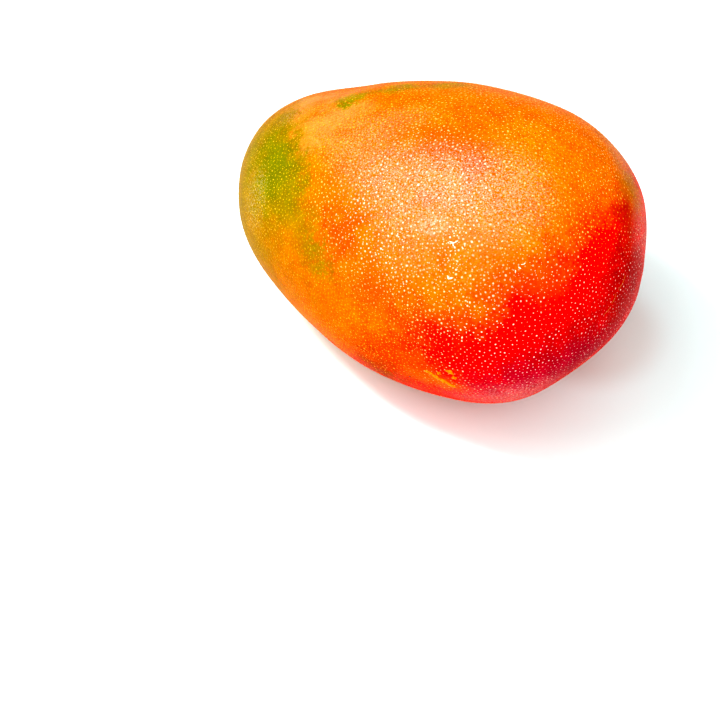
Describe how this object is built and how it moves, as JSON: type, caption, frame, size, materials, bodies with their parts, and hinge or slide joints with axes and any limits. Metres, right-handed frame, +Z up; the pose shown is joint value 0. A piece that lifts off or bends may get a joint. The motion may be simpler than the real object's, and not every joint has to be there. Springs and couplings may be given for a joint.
{
  "type": "mango",
  "caption": "Whole ripe mango lying on one cheek, green at the apex, orange over the cheek and red on the stalk shoulder, with the stub of its stalk.",
  "frame": {"origin": "middle of the fruit's outer box, on the surface that it rests on", "axes": "+X towards the stalk end, +Y towards the beaked edge, +Z up through the upper cheek"},
  "size_m": [0.1234, 0.0958, 0.0891],
  "materials": {
    "fruit_skin": "waxy semi-gloss fruit skin, green to orange to red, with pale pores",
    "stalk_wood": "dry bare stalk wood, dark brown"
  },
  "bodies": {
    "root": {"fruit": "fruit_skin", "stem_stub": "stalk_wood"}
  },
  "joints": []
}
